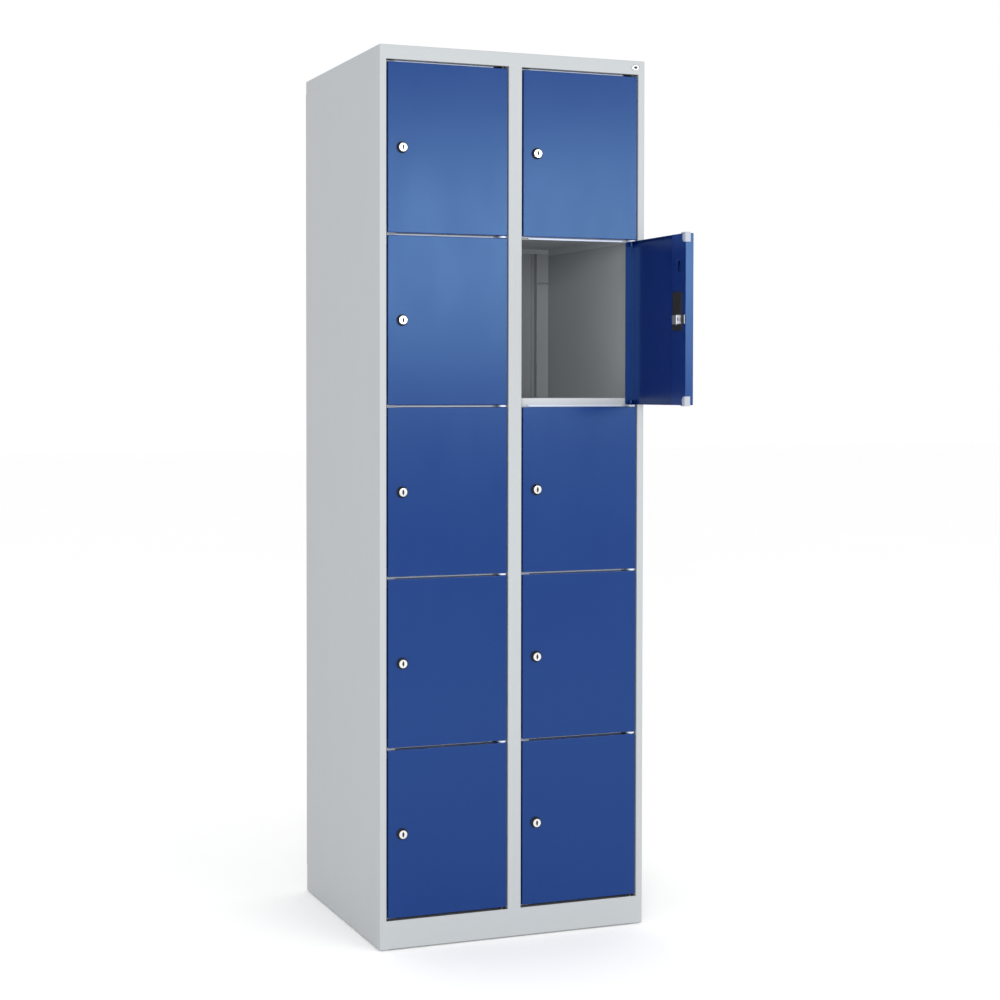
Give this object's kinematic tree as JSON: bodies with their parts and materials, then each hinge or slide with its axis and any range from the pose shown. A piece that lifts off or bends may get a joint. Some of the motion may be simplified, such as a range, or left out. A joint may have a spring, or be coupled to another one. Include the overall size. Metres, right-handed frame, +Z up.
{
  "type": "compartment locker",
  "caption": "Free-standing two-column steel compartment locker with flush hinged doors, key cylinder locks with sliding bolts, shelves, plinth and one door standing open.",
  "frame": {"origin": "on the floor under the middle of the bounding box, which takes in the open door: on the carcass's left-right centre plane, 125.75 mm behind its front face", "axes": "+Z up; -Y out of the front, where the doors open; +X to the right of someone facing the doors"},
  "size_m": [0.6, 0.7484, 1.85],
  "materials": {
    "carcass_paint": "satin light grey powder coat",
    "door_paint": "satin gentian blue powder coat",
    "lock_plastic": "black moulded, satin",
    "lock_metal": "bright nickel plating",
    "foot_plastic": "grey moulded",
    "badge_metal": "satin anodised, plain"
  },
  "bodies": {
    "root": {"left_side_wall": "carcass_paint", "right_side_wall": "carcass_paint", "centre_partition": "carcass_paint", "top_panel": "carcass_paint", "floor_panel": "carcass_paint", "rear_panel": "carcass_paint", "plinth": "carcass_paint", "shelf_left_1": "carcass_paint", "shelf_left_2": "carcass_paint", "shelf_left_3": "carcass_paint", "shelf_left_4": "carcass_paint", "shelf_right_1": "carcass_paint", "shelf_right_2": "carcass_paint", "shelf_right_3": "carcass_paint", "shelf_right_4": "carcass_paint", "foot_front_left": "foot_plastic", "foot_front_right": "foot_plastic", "foot_rear_left": "foot_plastic", "foot_rear_right": "foot_plastic", "badge_plate": "badge_metal"},
    "door_left_1": {"door_left_1": "door_paint", "lock_body_left_1": "lock_plastic"},
    "plug_left_1": {"lock_plug_left_1": "lock_metal"},
    "bolt_left_1": {"lock_bolt_left_1": "lock_metal"},
    "door_left_2": {"door_left_2": "door_paint", "lock_body_left_2": "lock_plastic"},
    "plug_left_2": {"lock_plug_left_2": "lock_metal"},
    "bolt_left_2": {"lock_bolt_left_2": "lock_metal"},
    "door_left_3": {"door_left_3": "door_paint", "lock_body_left_3": "lock_plastic"},
    "plug_left_3": {"lock_plug_left_3": "lock_metal"},
    "bolt_left_3": {"lock_bolt_left_3": "lock_metal"},
    "door_left_4": {"door_left_4": "door_paint", "lock_body_left_4": "lock_plastic"},
    "plug_left_4": {"lock_plug_left_4": "lock_metal"},
    "bolt_left_4": {"lock_bolt_left_4": "lock_metal"},
    "door_left_5": {"door_left_5": "door_paint", "lock_body_left_5": "lock_plastic"},
    "plug_left_5": {"lock_plug_left_5": "lock_metal"},
    "bolt_left_5": {"lock_bolt_left_5": "lock_metal"},
    "door_right_1": {"door_right_1": "door_paint", "lock_body_right_1": "lock_plastic"},
    "plug_right_1": {"lock_plug_right_1": "lock_metal"},
    "bolt_right_1": {"lock_bolt_right_1": "lock_metal"},
    "door_right_2": {"door_right_2": "door_paint", "lock_body_right_2": "lock_plastic"},
    "plug_right_2": {"lock_plug_right_2": "lock_metal"},
    "bolt_right_2": {"lock_bolt_right_2": "lock_metal"},
    "door_right_3": {"door_right_3": "door_paint", "lock_body_right_3": "lock_plastic"},
    "plug_right_3": {"lock_plug_right_3": "lock_metal"},
    "bolt_right_3": {"lock_bolt_right_3": "lock_metal"},
    "door_right_4": {"door_right_4": "door_paint", "lock_body_right_4": "lock_plastic"},
    "plug_right_4": {"lock_plug_right_4": "lock_metal"},
    "bolt_right_4": {"lock_bolt_right_4": "lock_metal"},
    "door_right_5": {"door_right_5": "door_paint", "lock_body_right_5": "lock_plastic"},
    "plug_right_5": {"lock_plug_right_5": "lock_metal"},
    "bolt_right_5": {"lock_bolt_right_5": "lock_metal"}
  },
  "joints": [
    {"name": "door_hinge_left_1", "type": "hinge", "parent": "root", "child": "door_left_1", "pos_m": [-0.026, -0.11825, 1.643], "axis": [0, 0, 1], "range_deg": [0, 105]},
    {"name": "plug_turn_left_1", "type": "hinge", "parent": "door_left_1", "child": "plug_left_1", "pos_m": [-0.2515, -0.11825, 1.643], "axis": [0, 1, 0], "range_deg": [0, 90]},
    {"name": "bolt_slide_left_1", "type": "slide", "parent": "door_left_1", "child": "bolt_left_1", "axis": [-1, 0, 0], "range_m": [0, 0.008]},
    {"name": "door_hinge_left_2", "type": "hinge", "parent": "root", "child": "door_left_2", "pos_m": [-0.026, -0.11825, 1.292], "axis": [0, 0, 1], "range_deg": [0, 105]},
    {"name": "plug_turn_left_2", "type": "hinge", "parent": "door_left_2", "child": "plug_left_2", "pos_m": [-0.2515, -0.11825, 1.292], "axis": [0, 1, 0], "range_deg": [0, 90]},
    {"name": "bolt_slide_left_2", "type": "slide", "parent": "door_left_2", "child": "bolt_left_2", "axis": [-1, 0, 0], "range_m": [0, 0.008]},
    {"name": "door_hinge_left_3", "type": "hinge", "parent": "root", "child": "door_left_3", "pos_m": [-0.026, -0.11825, 0.941], "axis": [0, 0, 1], "range_deg": [0, 105]},
    {"name": "plug_turn_left_3", "type": "hinge", "parent": "door_left_3", "child": "plug_left_3", "pos_m": [-0.2515, -0.11825, 0.941], "axis": [0, 1, 0], "range_deg": [0, 90]},
    {"name": "bolt_slide_left_3", "type": "slide", "parent": "door_left_3", "child": "bolt_left_3", "axis": [-1, 0, 0], "range_m": [0, 0.008]},
    {"name": "door_hinge_left_4", "type": "hinge", "parent": "root", "child": "door_left_4", "pos_m": [-0.026, -0.11825, 0.59], "axis": [0, 0, 1], "range_deg": [0, 105]},
    {"name": "plug_turn_left_4", "type": "hinge", "parent": "door_left_4", "child": "plug_left_4", "pos_m": [-0.2515, -0.11825, 0.59], "axis": [0, 1, 0], "range_deg": [0, 90]},
    {"name": "bolt_slide_left_4", "type": "slide", "parent": "door_left_4", "child": "bolt_left_4", "axis": [-1, 0, 0], "range_m": [0, 0.008]},
    {"name": "door_hinge_left_5", "type": "hinge", "parent": "root", "child": "door_left_5", "pos_m": [-0.026, -0.11825, 0.239], "axis": [0, 0, 1], "range_deg": [0, 105]},
    {"name": "plug_turn_left_5", "type": "hinge", "parent": "door_left_5", "child": "plug_left_5", "pos_m": [-0.2515, -0.11825, 0.239], "axis": [0, 1, 0], "range_deg": [0, 90]},
    {"name": "bolt_slide_left_5", "type": "slide", "parent": "door_left_5", "child": "bolt_left_5", "axis": [-1, 0, 0], "range_m": [0, 0.008]},
    {"name": "door_hinge_right_1", "type": "hinge", "parent": "root", "child": "door_right_1", "pos_m": [0.274, -0.11825, 1.643], "axis": [0, 0, 1], "range_deg": [0, 105]},
    {"name": "plug_turn_right_1", "type": "hinge", "parent": "door_right_1", "child": "plug_right_1", "pos_m": [0.0485, -0.11825, 1.643], "axis": [0, 1, 0], "range_deg": [0, 90]},
    {"name": "bolt_slide_right_1", "type": "slide", "parent": "door_right_1", "child": "bolt_right_1", "axis": [-1, 0, 0], "range_m": [0, 0.008]},
    {"name": "door_hinge_right_2", "type": "hinge", "parent": "root", "child": "door_right_2", "pos_m": [0.274, -0.11825, 1.292], "axis": [0, 0, 1], "range_deg": [-90, 15]},
    {"name": "plug_turn_right_2", "type": "hinge", "parent": "door_right_2", "child": "plug_right_2", "pos_m": [0.274, -0.34375, 1.292], "axis": [-1, 0, 0], "range_deg": [0, 90]},
    {"name": "bolt_slide_right_2", "type": "slide", "parent": "door_right_2", "child": "bolt_right_2", "axis": [0, -1, 0], "range_m": [0, 0.008]},
    {"name": "door_hinge_right_3", "type": "hinge", "parent": "root", "child": "door_right_3", "pos_m": [0.274, -0.11825, 0.941], "axis": [0, 0, 1], "range_deg": [0, 105]},
    {"name": "plug_turn_right_3", "type": "hinge", "parent": "door_right_3", "child": "plug_right_3", "pos_m": [0.0485, -0.11825, 0.941], "axis": [0, 1, 0], "range_deg": [0, 90]},
    {"name": "bolt_slide_right_3", "type": "slide", "parent": "door_right_3", "child": "bolt_right_3", "axis": [-1, 0, 0], "range_m": [0, 0.008]},
    {"name": "door_hinge_right_4", "type": "hinge", "parent": "root", "child": "door_right_4", "pos_m": [0.274, -0.11825, 0.59], "axis": [0, 0, 1], "range_deg": [0, 105]},
    {"name": "plug_turn_right_4", "type": "hinge", "parent": "door_right_4", "child": "plug_right_4", "pos_m": [0.0485, -0.11825, 0.59], "axis": [0, 1, 0], "range_deg": [0, 90]},
    {"name": "bolt_slide_right_4", "type": "slide", "parent": "door_right_4", "child": "bolt_right_4", "axis": [-1, 0, 0], "range_m": [0, 0.008]},
    {"name": "door_hinge_right_5", "type": "hinge", "parent": "root", "child": "door_right_5", "pos_m": [0.274, -0.11825, 0.239], "axis": [0, 0, 1], "range_deg": [0, 105]},
    {"name": "plug_turn_right_5", "type": "hinge", "parent": "door_right_5", "child": "plug_right_5", "pos_m": [0.0485, -0.11825, 0.239], "axis": [0, 1, 0], "range_deg": [0, 90]},
    {"name": "bolt_slide_right_5", "type": "slide", "parent": "door_right_5", "child": "bolt_right_5", "axis": [-1, 0, 0], "range_m": [0, 0.008]}
  ],
  "couplings": [
    {"joint": "bolt_slide_left_1", "follows": "plug_turn_left_1", "m_per_rad": 0.00509},
    {"joint": "bolt_slide_left_2", "follows": "plug_turn_left_2", "m_per_rad": 0.00509},
    {"joint": "bolt_slide_left_3", "follows": "plug_turn_left_3", "m_per_rad": 0.00509},
    {"joint": "bolt_slide_left_4", "follows": "plug_turn_left_4", "m_per_rad": 0.00509},
    {"joint": "bolt_slide_left_5", "follows": "plug_turn_left_5", "m_per_rad": 0.00509},
    {"joint": "bolt_slide_right_1", "follows": "plug_turn_right_1", "m_per_rad": 0.00509},
    {"joint": "bolt_slide_right_2", "follows": "plug_turn_right_2", "m_per_rad": 0.00509},
    {"joint": "bolt_slide_right_3", "follows": "plug_turn_right_3", "m_per_rad": 0.00509},
    {"joint": "bolt_slide_right_4", "follows": "plug_turn_right_4", "m_per_rad": 0.00509},
    {"joint": "bolt_slide_right_5", "follows": "plug_turn_right_5", "m_per_rad": 0.00509}
  ]
}
